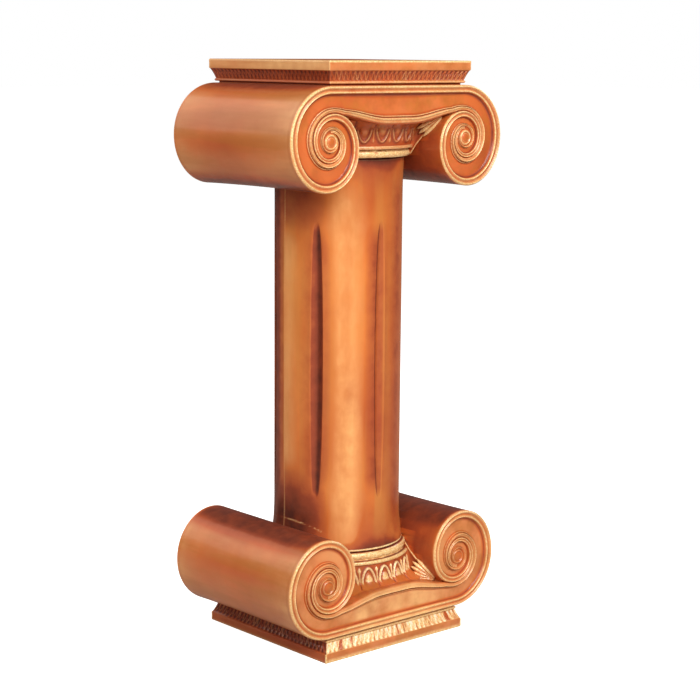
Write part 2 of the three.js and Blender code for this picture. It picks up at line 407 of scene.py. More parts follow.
def scroll(face_wear):
    """The band, both volutes and the barrels; face_wear is how far the faces are rubbed."""
    solid = Solid()
    rows = stations()
    notch_row = STRAIGHT_STEPS + TURN_STEPS
    rings = {}
    for side in (1, -1):
        for face in (-1, 1):
            points, gilt_and_highlight, stain_and_shade = [], [], []
            for outer, inner, share, height, gold, dark in rows:
                line = outer + (inner - outer) * share[:, None]
                y = FACE_HALF_DEPTH + height
                points.append(np.column_stack([side * line[:, 0], face * y, line[:, 1]]))
                on_cord = np.arange(len(gold)) >= RIM_STEPS + CHANNEL_STEPS
                gilt_and_highlight.append(gold * (1 - face_wear * np.where(on_cord, 0.45, 0.2)))
                middle = 0.4 + 0.6 * (1 - smoothstep(line[:, 0], 50, 115))
                stain_and_shade.append(dark * (1 - 0.3 * face_wear) - face_wear * middle * (1 - dark))
            points = np.array(points)
            index = solid.add(points, np.array(gilt_and_highlight), np.array(stain_and_shade)).reshape(points.shape[:2])
            solid.grid(index, flip=side * face > 0)
            inner_ring = index[len(rows) - 1 - TURN_STEPS :, -1]
            end_line = index[-1, ::-1]
            loop = [*inner_ring, *end_line[1:-1]]
            centre = solid.add([[side * EYE_X, face * (FACE_HALF_DEPTH + RELIEF_BASE), EYE_DEPTH]], 0, 1)[0]
            for a, b in zip(loop[:-1], loop[1:]):
                solid.faces.append([a, b, centre])
            solid.faces.append([loop[-1], loop[0], centre])
            outline = [*index[: notch_row + 1, 0], *index[: STRAIGHT_STEPS + 1, -1][::-1]]
            rings[side, face] = outline
    every = np.concatenate(solid.points)
    # Shares of the way from the front face to the back one, closer together near the faces.
    ways = np.array([0, 0.012, 0.03, 0.055, 0.085, 0.16, 0.3, 0.4, 0.5])
    ways = np.concatenate([ways, 1 - ways[:-1][::-1]])
    for side in (1, -1):
        front = every[rings[side, -1]]
        y_front, y_back = front[:, 1], every[rings[side, 1]][:, 1]
        centre = np.array([side * EYE_X, EYE_DEPTH])
        flat = front[:, [0, 2]]
        out = flat - centre
        reach = np.linalg.norm(out, axis=1)
        volute = smoothstep(side * flat[:, 0], EYE_X - 25, EYE_X + 5) * (flat[:, 1] > SCROLL_TOP + 1)
        table = [rings[side, -1]]
        for way in ways[1:-1]:
            y = y_front + (y_back - y_front) * way
            waist = BARREL_WAIST * math.sin(math.pi * way) ** 0.7 * volute / reach
            moved = flat - out * waist[:, None]
            near = max(0.0, 1 - min(way, 1 - way) / 0.02)
            across_x = side * moved[:, 0]
            # Painted shade on the barrels, less the wear that lightens them near the faces.
            stain_and_shade = barrel_painted_shade(moved[:, 1], across_x)
            wear = 0.23 + 0.45 * math.exp(-min(way, 1 - way) / 0.12)
            row = solid.add(
                np.column_stack([moved[:, 0], y, moved[:, 1]]),
                0.4 * near * (across_x > 100),
                np.clip(stain_and_shade - wear, -1, 0.85) * (1 - near),
            )
            table.append(row)
        table.append(rings[side, 1])
        solid.grid(np.array(table), flip=side > 0)
    return solid.object("scroll")


def eye_boss(side, face, gold):
    """The button at the middle of a volute: a low dome inside a ring."""
    solid = Solid()
    turns = np.linspace(0, 2 * math.pi, EYE_SIDES, endpoint=False)
    rows = []
    for radius, height, shine in EYE_PROFILE:
        ring = np.column_stack(
            [
                side * EYE_X + radius * np.cos(turns),
                np.full(EYE_SIDES, face * (FACE_HALF_DEPTH + height)),
                EYE_DEPTH + radius * np.sin(turns),
            ]
        )
        # The foot of the button is painted dark: painted shade in the crease round it.
        rows.append(solid.add(ring, gold * shine, 0.0 if shine else 0.9))
    solid.grid(np.array(rows), close=True)
    tip = solid.add([[side * EYE_X, face * (FACE_HALF_DEPTH + 0.25), EYE_DEPTH]], 0, 0)[0]
    foot = solid.add([[side * EYE_X, face * (FACE_HALF_DEPTH - EYE_FOOT), EYE_DEPTH]], 0, 0)[0]
    solid.fan(rows[-1], tip)
    solid.fan(rows[0], foot, flip=True)
    return solid.object("eye")


# --- the plate ---
def leaf_relief(along, down):
    """Height, gilding and stain of the leaf band; along counts leaves, down runs from 0 to 1."""
    a = np.abs((along % 1) - 0.5) * 2
    arch = 0.78 - 0.42 * (1 - down) ** 2
    rib = np.exp(-(((a - arch * (0.35 + 0.65 * down)) / 0.2) ** 2))
    dart = np.exp(-(((a - 1) / 0.14) ** 2)) * smoothstep(down, 0.1, 0.5) * 0.7
    eye = np.exp(-((a / 0.22) ** 2)) * smoothstep(down, 0.55, 0.9) * 0.6
    high = np.maximum(np.maximum(rib, dart), eye)
    ends = smoothstep(down, 0, 0.12) * smoothstep(1 - down, 0, 0.1)
    return (-1.5 + 2.1 * high) * ends, high * ends, (1 - high) * ends


def plate_lines():
    """Lines round the plate from the outer face inwards: depth, inset, what it is, way down the leaves."""
    lines = [(0, inset, "face", 0) for inset in (22, 5, 2.6)]
    lines += [(depth, inset, "fascia", 0) for depth, inset in FASCIA_LINES]
    for i in range(LEAF_STEPS + 1):
        t = i / LEAF_STEPS
        depth = FASCIA + (LEAF_BAND_END - FASCIA) * t
        lines.append((depth, 0.9 + LEAF_BAND_INSET * t**0.8, "leaves", t))
    return lines + [
        (LEAF_BAND_END + 0.5, FILLET_INSET - 1.2, "fillet", 0),
        (LEAF_BAND_END + 1.4, FILLET_INSET - 1.6, "fillet", 0),
        (PLATE_THICKNESS - 0.9, FILLET_INSET - 1.6, "fillet", 0),
        (PLATE_THICKNESS, FILLET_INSET - 0.6, "fillet", 0),
        (PLATE_THICKNESS + 0.3, NECK_INSET, "neck", 0),
        (SCROLL_TOP + 2.5, NECK_INSET, "neck", 0),
    ]


def plain_tone(kind, depth, gold, kept):
    """Gilding and stain of a line that carries no leaves."""
    dressed = kept == 1
    if kind == "fascia":
        gilt_and_highlight = 0.95 * kept**0.5
        if depth >= 1.5:
            gilt_and_highlight *= 0.3 * gold * (depth < 4)
        side_stain = -1.0 if gold < 1 else 0.3
        return gilt_and_highlight, -0.3 if dressed else side_stain
    if kind == "fillet":
        return (0.35 + 0.3 * gold) * kept**0.5, 0.0 if dressed else 0.3
    # The neck under the plate is painted dark: painted shade under the plate's overhang.
    return 0.0, 1.0 if kind == "neck" else 0.0


def plate(gold):
    """The square plate with its leaf band; gold is how heavily the leaves are gilded."""
    lines = plate_lines()
    solid = Solid()
    columns = LEAVES_PER_SIDE * COLUMNS_PER_LEAF
    t = np.linspace(-1, 1, columns + 1)
    rng = np.random.default_rng(11)
    tables = []
    for quarter in range(4):
        table = []
        # The front and the back keep all their gilding, and the other two sides little of it. Those sides'
        # leaf bands are darker too, partly painted shade on the sides turned from the light.
        kept = 1.0 if quarter % 2 == 0 else 0.15
        dabs = rng.normal(0, 1, columns + 1)
        dabs = (dabs + np.roll(dabs, 1) + np.roll(dabs, 2) + np.roll(dabs, 3)) / 2
        for depth, inset, kind, down in lines:
            half = PLATE_HALF - inset
            along = t * half
            if kind == "leaves":
                leaf, shine, dark = leaf_relief((t + 1) / 2 * LEAVES_PER_SIDE, down)
                clear = smoothstep((1 - np.abs(t)) * half, 0.4, 5)
                out = half + leaf * clear * (0.5 + 0.5 * kept)
                dusted = shine * (0.8 + 0.35 * dabs) + 0.12 * gold * dabs * shine**0.3 + 0.13 * gold
                gilt_and_highlight = gold * kept * np.clip(dusted, 0, 1)
                stain_and_shade = dark * (1.1 - 0.3 * kept) / max(1.0, 1.3 * gold * kept)
                # Painted shade, in part: the leaf bands on the two sides are darkened.
                stain_and_shade = np.maximum(stain_and_shade, 0.5 * (1 - kept))
            else:
                out = np.full_like(t, half)
                gilt_and_highlight, stain_and_shade = (np.full_like(t, tone) for tone in plain_tone(kind, depth, gold, kept))
                if kind == "fascia":
                    corner = smoothstep(np.abs(t), 0.978, 0.995)
                    gilt_and_highlight = np.maximum(gilt_and_highlight, (0.35 + 0.35 * gold) * corner)
            x, y = along, -out
            for _ in range(quarter):
                x, y = -y, x
            ring = np.column_stack([x, y, np.full_like(t, depth)])
            table.append(solid.add(ring, gilt_and_highlight, stain_and_shade))
        solid.grid(np.array(table))
        tables.append(table)
    for row, flip in ((0, True), (-1, False)):
        centre = solid.add([[0, 0, lines[row][0]]], 0, 0)[0]
        for table in tables:
            ring = table[row]
            for a, b in zip(ring[:-1], ring[1:]):
                solid.faces.append([b, a, centre] if flip else [a, b, centre])
    return solid.object("plate")


# --- the bell ---
def egg_relief(arc, depth):
    """Height, gilding and stain of egg and dart, with painted shade in the hollow round each frame and
    between the tongues; arc is the distance from the nearest egg's middle.
    """
    a = np.abs(arc)
    down = np.maximum(depth - EGG_FRAME_TOP, 0)
    f = (a / EGG_FRAME_HALF_WIDTH) ** 1.9 + (down / EGG_FRAME_LENGTH) ** 1.7 - 1
    slope_round = 1.9 * (a + 0.01) ** 0.9 / EGG_FRAME_HALF_WIDTH**1.9
    slope_down = 1.7 * (down + 0.01) ** 0.7 / EGG_FRAME_LENGTH**1.7
    away = f / np.maximum(np.hypot(slope_round, slope_down), 0.03)
    frame_ridge = bump(away, 0, 1.35)
    inside = np.clip(1 - (a / EGG_HALF_WIDTH) ** 2 - ((depth - EGG_TOP) / EGG_LENGTH) ** 2, 0, 1)
    egg = np.sqrt(inside)
    half = 0.75 + 1.3 * bump(depth, 105, 2.4)
    dart = np.exp(-(((DART_ARC - a) / half) ** 2)) * smoothstep(109.5 - depth, 0, 2.5)
    dart = np.where(away > 1.0, dart, 0)
    tongue = smoothstep(91 - depth, 0, 5)
    crown = np.sqrt(np.clip(1 - (a / 12.9) ** 4, 0, 1)) * 3.2 - 1.2
    height = -1.2 + 2.7 * frame_ridge + 3.6 * egg + 2.0 * dart * (1 - frame_ridge)
    height = height * (1 - tongue) + crown * tongue
    low = smoothstep(depth, 88, 93)
    gilt_and_highlight = np.clip(frame_ridge * (0.5 + 0.5 * low) + dart * 0.9 * low + egg * 0.6 * low, 0, 1)
    gilt_and_highlight = gilt_and_highlight * (1 - 0.85 * tongue)
    # Painted shade: the hollow round each frame and the lines between the tongues are darkened.
    beside = bump(away, 0, 3.2) - 1.2 * frame_ridge
    stain_and_shade = np.clip(0.3 + 0.6 * beside * low - egg * 0.4 - dart, -0.2, 1) * (1 - tongue)
    stain_and_shade = np.maximum(stain_and_shade, tongue * smoothstep(a, 12.2, 13.4) * 0.8)
    return height, gilt_and_highlight, stain_and_shade


def bell_lines():
    """Lines round the bell, down to the shaft: depth, radius, what it is."""
    rows = [(BELL_TOP - 2, 84.0, "core"), (BELL_TOP, BELL_RADIUS + 12, "core")]
    radii = [BELL_RADIUS, BELL_RADIUS - 1.5, EGG_BAND_FOOT_RADIUS]
    for depth in np.linspace(BELL_FLARE_START, EGG_BAND_FOOT - 1.0, 34):
        left = max(0.0, (BELL_FLARE_END - depth) / (BELL_FLARE_END - BELL_FLARE_START))
        radius = np.interp(depth, [BELL_TOP, 95, EGG_BAND_FOOT], radii)
        rows.append((depth, radius + left**1.6 * BELL_FLARE, "eggs"))
    rows += [
        (EGG_BAND_FOOT - 0.6, FILLET_RADIUS - 0.7, "fillet"),
        (EGG_BAND_FOOT + 0.6, FILLET_RADIUS, "fillet"),
        (FILLET_END - 2.0, FILLET_RADIUS, "fillet"),
        (FILLET_END - 0.8, FILLET_RADIUS - 0.7, "fillet"),
        (FILLET_END - 0.2, FILLET_RADIUS - 4.5, "groove"),
    ]
    for turn in np.linspace(58, -90, 15):
        a = math.radians(turn)
        depth = ASTRAGAL_DEPTH - ASTRAGAL_RADIUS * math.sin(a)
        rows.append((depth, ASTRAGAL_RING + ASTRAGAL_RADIUS * math.cos(a), "astragal"))
    return rows


def bell(gold, egg_shift):
    """The round bell; egg_shift turns its eggs by so many degrees."""
    rows = bell_lines()
    fine = np.arange(-44, 44.01, 0.6)
    coarse = np.arange(50, 130.01, 6)
    angles = np.concatenate([fine, coarse, fine + 180, coarse + 180])
    offset = (angles - egg_shift + EGG_PITCH / 2) % EGG_PITCH - EGG_PITCH / 2
    rng = np.random.default_rng(7)
    brush = rng.normal(0, 1, (len(rows), len(angles)))
    brush = sum(np.roll(brush, k, 1) for k in range(5)) / 3 + 0.4 * np.roll(brush, 1, 0)
    front = 1 - smoothstep(np.abs(((angles + 90) % 180) - 90), *EGGS_FADE)
    solid = Solid()
    table = []
    a = np.radians(angles)
    for i, (depth, radius, kind) in enumerate(rows):
        out = np.full_like(angles, radius)
        gilt_and_highlight = np.zeros_like(angles)
        stain_and_shade = np.full_like(angles, 0.3)
        if kind == "eggs":
            height, gilt_and_highlight, stain_and_shade = egg_relief(np.radians(offset) * EGG_ARC_RADIUS, depth)
            out += np.where(front > 0, height * front, 0)
            gilt_and_highlight *= gold
        elif kind == "fillet":
            gilt_and_highlight[:] = 0.35 + 0.3 * gold
            stain_and_shade[:] = 0
        # The groove under the fillet is painted dark: painted shade in it.
        elif kind == "groove":
            stain_and_shade[:] = 1
        elif kind == "astragal":
            foot = ASTRAGAL_DEPTH + ASTRAGAL_RADIUS
            joint = smoothstep(depth, ASTRAGAL_DEPTH + 0.82 * ASTRAGAL_RADIUS, foot)
            out += 0.16 * brush[i] * front
            gilt_and_highlight = (0.78 + 0.22 * brush[i]) * (1 - joint)
            stain_and_shade = np.clip(-0.3 * brush[i], 0, 0.4) + joint * (1 - 0.25 * gold)
        ring = np.column_stack([out * np.sin(a), -out * np.cos(a), np.full_like(a, depth)])
        table.append(solid.add(ring, gilt_and_highlight, stain_and_shade))
    solid.grid(np.array(table), close=True)
    for row, flip in ((0, True), (-1, False)):
        centre = solid.add([[0, 0, rows[row][0]]], 0, 1)[0]
        solid.fan(table[row], centre, flip)
    return solid.object("bell")


def petal(side, face, tip):
    """One lobe of a palmette: a long bead with a keel, from the root to its tip."""
    mirror = np.array([side, face, 1.0])
    root = PALMETTE_ROOT * mirror
    tip = tip * mirror
    along = tip - root
    length = np.linalg.norm(along)
    along /= length
    out = np.array([PALMETTE_OUT_X * side, PALMETTE_OUT_Y * face, 0.1])
    out -= along * out.dot(along)
    out /= np.linalg.norm(out)
    across_way = np.cross(along, out)
    solid = Solid()
    turns = np.linspace(0, 2 * math.pi, 12, endpoint=False)
    rows = []
    for t in np.linspace(0, 1, 15)[1:-1]:
        swell = math.sin(math.pi * t**0.75) ** 0.7
        bow = math.sin(math.pi * t) * 2.2
        centre = root + along * length * t + out * bow
        keel = 1 + 0.35 * np.maximum(np.sin(turns), 0) ** 4
        ring = (
            centre
            + across_way * (np.cos(turns) * PETAL_WIDTH * swell)[:, None]
            + out * (np.sin(turns) * PETAL_THICKNESS * swell * keel)[:, None]
        )
        # The lobe's side towards the bell is darkened: painted shade between the lobes.
        high = np.clip(np.sin(turns), 0, 1)
        rows.append(solid.add(ring, 0.2 + 0.65 * high**1.5, 0.45 * (1 - high)))
    solid.grid(np.array(rows), close=True)
    ends = solid.add([root, tip], 0.6, 0)
    solid.fan(rows[0], ends[0], True)
    solid.fan(rows[-1], ends[1])
    return solid.object("petal")


def web(side, face):
    """The corner between bell and volute, filled behind a curved lower edge."""
    mirror = np.array([side, face, 1.0])
    out = np.array([PALMETTE_OUT_X, PALMETTE_OUT_Y, 0.0])
    solid = Solid()
    rows = []
    for edge in WEB_EDGE:
        top = np.array([edge[0], edge[1], WEB_TOP])
        front = edge - [0, 0, 4.5]
        ring = [
            np.array([edge[0] + 12, 0, min(edge[2], 84)]),
            edge - out * 14,
            edge - out * 2.5,
            edge - out * 0.8 - [0, 0, 0.7],
            edge - out * 0.2 - [0, 0, 2.2],
            front - out * 1.2,
            front - out * 2.2 - [0, 0, 2],
            top - out * 1.5,
            np.array([edge[0] + 12, 0, WEB_TOP]),
        ]
        # The web is darkened everywhere but along its lower edge: painted shade in the corner between bell
        # and volute.
        gilt_and_highlight = [0, 0, 0.1, 0.8, 0.5, 0, 0, 0, 0]
        stain_and_shade = [0.9, 0.9, 0.5, 0, 0, 0.5, 0.6, 0.5, 0.7]
        rows.append(solid.add(np.array(ring) * mirror, gilt_and_highlight, stain_and_shade))
    solid.grid(np.array(rows), close=True)
    for row, flip in ((rows[0], True), (rows[-1], False)):
        middle = np.concatenate(solid.points)[row].mean(axis=0)
        centre = solid.add([middle], 0, 0.6)[0]
        solid.fan(row, centre, flip)
    return solid.object("web")


# --- the shaft ---
def shaft_radius(z, clearance=0.0):
    low, high = SHAFT_END, HEIGHT - SHAFT_END
    foot = np.clip(1 - (z - low - SHAFT_LIP) / SHAFT_FLARE_HEIGHT, 0, 1) ** 3
    top = np.clip(1 - (high - SHAFT_LIP - z) / SHAFT_FLARE_HEIGHT, 0, 1) ** 3
    radius = SHAFT_RADIUS + (SHAFT_FOOT_RADIUS - SHAFT_RADIUS) * foot
    return radius + (SHAFT_TOP_RADIUS - SHAFT_RADIUS) * top + clearance


def drum(clearance):
    """The shaft without its flutes, grown by a clearance, to cut its seat out of a capital."""
    solid = Solid()
    turns = np.linspace(0, 2 * math.pi, DRUM_SIDES, endpoint=False)
    low, high = SHAFT_END - clearance, HEIGHT - SHAFT_END + clearance
    rows = []
    for z in [low, *np.linspace(low + 0.01, low + 75, 14), *np.linspace(high - 75, high - 0.01, 14), high]:
        clear_of_lips = np.clip(z, SHAFT_END + SHAFT_LIP, HEIGHT - SHAFT_END - SHAFT_LIP)
        radius = float(shaft_radius(clear_of_lips, clearance))
        if z in (low, high):
            radius -= 0.4
        ring = [radius * np.cos(turns), radius * np.sin(turns), np.full(DRUM_SIDES, z)]
        rows.append(solid.add(np.column_stack(ring), 0, 0.8))
    solid.grid(np.array(rows), close=True)
    for row, z in ((0, low), (-1, high)):
        centre = solid.add([[0, 0, z]], 0, 0.8)[0]
        solid.fan(rows[row], centre, row == 0)
    return solid.object("cutter")


def shaft_heights():
    """Heights of the rows, closer together at the lips and where the flutes end."""
    low, high = SHAFT_END, HEIGHT - SHAFT_END
    bottom, top = FLUTE_MIDDLE - FLUTE_HALF_LENGTH, FLUTE_MIDDLE + FLUTE_HALF_LENGTH
    lips = np.array([0, 0.25, 0.7, 1.3, 2.0, 2.7, 3.6, 5.0])
    return np.concatenate(
        [
            low + lips,
            np.linspace(low + 7, bottom - 6, 36),
            np.linspace(bottom - 2, bottom + FLUTE_TIP, 26),
            np.linspace(bottom + FLUTE_TIP + 6, top - FLUTE_TIP - 8, 60),
            np.linspace(top - FLUTE_TIP - 2, top + 2, 30),
            np.linspace(top + 6, high - 9, 14),
            high - lips[::-1],
        ]
    )


def end_darkening_and_shade(z, angles):
    """Darker near the ends of the shaft, more so over its quarters; beside the barrels and under the head
    it is painted shade, where they cast their shadows.
    """
    lower = z < HEIGHT / 2
    from_end = min(z - SHAFT_END, HEIGHT - SHAFT_END - z)
    quarters = smoothstep(np.abs(np.cos(2 * angles)), 0.5, 1.0)
    near_barrel = smoothstep(np.abs(np.sin(angles)), 0.66, 1.0) * float(smoothstep(140 - from_end, 0, 100))
    stain_and_shade = 0.6 * math.exp(-((from_end / 11) ** 1.5)) + 0.45 * quarters * math.exp(-((from_end / 45) ** 2))
    stain_and_shade = np.maximum(stain_and_shade, (0.95 if lower else 0.5) * near_barrel)
    return np.maximum(stain_and_shade, (0.16 if lower else 0.3) * math.exp(-((from_end / 50) ** 2)))


def flute_stain_and_shade():
    """Stain inside each flute, with painted shade on one wall: at the front and the back a dark line along
    one lip, where the wall is hidden, and the other lip rubbed lighter; on the sides, the wall nearer the
    front.
    """
    around = []
    for k in range(FLUTES):
        lean = float(np.sign(round(math.sin(math.radians(360 / FLUTES) * k), 6)))
        if lean == 0:
            # Front and back: a dark line painted along one lip as shade, the other lip rubbed lighter.
            pooled_and_shade = 0.42 + 0.55 * bump(ACROSS_FLUTE, -0.8, 0.22) - 0.3 * bump(ACROSS_FLUTE, 0.9, 0.12)
        else:
            # Sides: painted shade on the wall nearer the front.
            pooled_and_shade = 0.6 + 0.35 * bump(ACROSS_FLUTE, -0.4 * lean, 0.6)
        around += [pooled_and_shade, np.zeros(len(ACROSS_PANEL))]
    return np.concatenate(around)


def panel_stain(stain_and_shade, angles, radius, along, in_flute):
    """The stain with each panel reddened along one edge and rubbed thin or stained in its middle."""
    pitch = math.radians(360 / FLUTES)
    panel = np.floor(np.degrees(angles) / (360 / FLUTES)).astype(int) % FLUTES
    from_middle = radius * (pitch * (angles / pitch - np.floor(angles / pitch)) - pitch / 2)
    worn = np.array(PANEL_WEAR)[panel] * np.exp(-(((from_middle + 7) / 20.5) ** 2))
    fade = float(smoothstep(1.02 - abs(along), 0, 0.2))
    red = np.array(PANEL_RED)[panel] * fade * smoothstep(from_middle, 14, 37) * (1 - in_flute)
    stain_and_shade = np.maximum(stain_and_shade, red)
    return stain_and_shade - worn * (1 - smoothstep(stain_and_shade, 0.0, 0.3))


def joint_flash(z, angles, reach, broken):
    """The pale, broken line round the shaft just over the lower barrels."""
    across_x = np.clip(np.abs(reach * np.sin(angles)), EYE_X - RIM_RADII[0], None)
    barrel_top = EYE_DEPTH + np.sqrt(RIM_RADII[0] ** 2 - (EYE_X - across_x) ** 2)
    strength = np.where(np.sin(angles) < 0, 0.5, 0.2) * np.clip(broken, 0, 1)
    return strength * bump(z, barrel_top + 1.5, 1.3) * (z < HEIGHT / 2) * (across_x > 56)


def shaft():
    """The turned drum with its flutes; angle 0 is the front and it grows towards +X."""
    solid = Solid()
    low, high = SHAFT_END, HEIGHT - SHAFT_END
    pitch = math.radians(360 / FLUTES)
    plain = np.zeros(len(ACROSS_PANEL))
    rng = np.random.default_rng(3)
    broken = rng.normal(0, 1, FLUTES * (len(ACROSS_FLUTE) + len(ACROSS_PANEL)))
    broken = 0.5 + sum(np.roll(broken, k) for k in range(6)) / 4
    pooled_and_shade = flute_stain_and_shade()
    rows = []
    for z in shaft_heights():
        from_end = min(z - low, high - z)
        radius = float(shaft_radius(np.clip(z, low + SHAFT_LIP, high - SHAFT_LIP)))
        lip = max(0.0, SHAFT_LIP - from_end) / SHAFT_LIP
        radius -= SHAFT_LIP * (1 - math.sqrt(max(0.0, 1 - lip**2)))

        along = (z - FLUTE_MIDDLE) / FLUTE_HALF_LENGTH
        shape = max(0.0, 1 - along**2) ** 0.36
        half = max(FLUTE_HALF_WIDTH * shape, 0.4) + 0.8
        depth = FLUTE_DEPTH * shape**2
        spread = half / radius
        section = np.clip(1 - np.abs(ACROSS_FLUTE) ** 1.5, 0, 1) ** 0.9
        sector = np.concatenate([ACROSS_FLUTE * spread, spread + (pitch - 2 * spread) * ACROSS_PANEL])
        angles = np.concatenate([sector + pitch * k for k in range(FLUTES)])
        reach = radius - np.tile(np.concatenate([depth * section, plain]), FLUTES)

        rounded = smoothstep(1 - np.abs(ACROSS_FLUTE), 0.0, 0.14)
        in_flute = np.tile(np.concatenate([rounded * min(1, depth / 1.5), plain]), FLUTES)
        from_flute = radius * (pitch - 2 * spread) * np.minimum(ACROSS_PANEL, 1 - ACROSS_PANEL)
        from_flute = np.tile(np.concatenate([np.zeros(len(ACROSS_FLUTE)), from_flute]), FLUTES)
        turn = np.abs(np.degrees(np.arctan2(np.sin(angles), np.cos(angles))))
        flanks = np.where((turn > 30) & (turn < 150), 1.0, 0.0)
        fringe = 0.34 * np.exp(-((from_flute / (12 + 4 * flanks)) ** 1.5))
        fringe *= min(1, depth / 3) * (1 - in_flute)
        # A dark band painted down each side, behind the highlight line, twice as strong on the -X side:
        # painted shade where the shaft turns from the light. The flute there is darkened more.
        band = 0.35 * smoothstep(turn, 95.5, 98.5) + 0.4 * smoothstep(turn, 100, 110)
        band = band * smoothstep(136 - turn, 0, 16)
        band *= np.where(np.sin(angles) < 0, 1.0, 0.5)
        inside = in_flute * pooled_and_shade + 0.3 * in_flute * (turn > 110) * (turn < 130)
        stain_and_shade = np.maximum.reduce([inside, fringe, band, end_darkening_and_shade(z, angles)])
        stain_and_shade = panel_stain(stain_and_shade, angles, radius, along, in_flute)

        # A pale upright line is painted down each side of the shaft: a painted highlight where a reflection
        # runs along it. The pale flash round the foot joins it.
        highlight_and_flash = 0.35 * bump(turn, HIGHLIGHT_LINE_ANGLE, 0.8)
        highlight_and_flash = np.maximum(highlight_and_flash, joint_flash(z, angles, reach, broken))
        # A bright line painted round the lip at each end, strong at the foot: a painted highlight on the
        # lip's rounded edge.
        edge = (1.3 if z < HEIGHT / 2 else 0.2) * math.exp(-(((from_end - 2.3) / 1.0) ** 2))
        ring = [reach * np.sin(angles), -reach * np.cos(angles), np.full(len(angles), z)]
        rows.append(solid.add(np.column_stack(ring), np.maximum(edge, highlight_and_flash), stain_and_shade * (1 - highlight_and_flash)))
    solid.grid(np.array(rows), close=True)
    for row, z in ((0, low), (-1, high)):
        centre = solid.add([[0, 0, z]], 0, 1)[0]
        solid.fan(rows[row], centre, row == 0)
    return solid.object("shaft_turned")


# --- joining the solids ---
def join(name, solids, cutter=None):
    """One closed mesh of all the solids, less the cutter."""
    body = solids[0]
    for other in solids[1:]:
        step = body.modifiers.new("add", "BOOLEAN")
        step.operation, step.object, step.solver = "UNION", other, "MANIFOLD"
    if cutter is not None:
        step = body.modifiers.new("cut", "BOOLEAN")
        step.operation, step.object, step.solver = "DIFFERENCE", cutter, "MANIFOLD"
    bpy.context.view_layer.update()
    graph = bpy.context.evaluated_depsgraph_get()
    mesh = bpy.data.meshes.new_from_object(body.evaluated_get(graph))
    mesh.name = name
    mesh.materials.clear()
    for used in solids + ([cutter] if cutter else []):
        data = used.data
        bpy.data.objects.remove(used)
        bpy.data.meshes.remove(data)
    mesh.shade_smooth()
    mesh.set_sharp_from_angle(angle=math.radians(42))
    obj = bpy.data.objects.new(name, mesh)
    bpy.context.scene.collection.objects.link(obj)
    return obj


def capital(name, upside_down):
    """One capital, joined. The foot's faces are more rubbed, and its leaves and eggs more gilded."""
    if upside_down:
        face_wear, leaf_gold, egg_gold, eye_gold, egg_shift = 0.95, 1.75, 1.5, 0.45, 0.0
    else:
        face_wear, leaf_gold, egg_gold, eye_gold, egg_shift = 0.12, 0.3, 0.4, 1.0, 7.0
    solids = [scroll(face_wear), plate(leaf_gold), bell(egg_gold, egg_shift)]
    for side in (1, -1):
        for face in (-1, 1):
            solids.append(eye_boss(side, face, eye_gold))
            solids.append(web(side, face))
            for tip in PALMETTE_TIPS:
                solids.append(petal(side, face, tip))
    turned = Matrix.Rotation(0 if upside_down else math.pi, 4, "X")
    place = Matrix.Translation((0, 0, 0 if upside_down else HEIGHT * MM)) @ turned
    for solid in solids:
        solid.data.transform(place)
    return join(name, solids, drum(JOINT_GAP))


# --- finish ---
# Colours of the stain and of the painted shade it also carries; then the gold, whose palest tone also draws
# the painted highlights on the shaft.
REDDENED = (0.36, 0.056, 0.013)
DARK_STAIN_AND_SHADE = (0.085, 0.013, 0.004)
DEEP_GOLD = (0.84, 0.47, 0.16)
BRIGHT_GOLD = (1.0, 0.76, 0.38)
PALE_GOLD_AND_HIGHLIGHT = (1.0, 0.84, 0.62)
# The lacquer where it is darkest, plain and lightest, its two kinds of streak, and rubbed thin.
CARVED_TONE = {
    "dark": (0.46, 0.075, 0.013),
    "middle": (0.60, 0.118, 0.022),
    "light": (0.66, 0.16, 0.034),
    "streak": (0.47, 0.15, 0.020),
    "worn": (0.90, 0.49, 0.19),
    "dark_streak": (0.34, 0.075, 0.012),
}
SHAFT_TONE = {
    "dark": (0.50, 0.10, 0.016),
    "middle": (0.68, 0.18, 0.032),
    "light": (0.82, 0.29, 0.065),
    "streak": (0.60, 0.24, 0.050),
    "worn": (0.92, 0.44, 0.15),
    "dark_streak": (0.58, 0.14, 0.022),
}


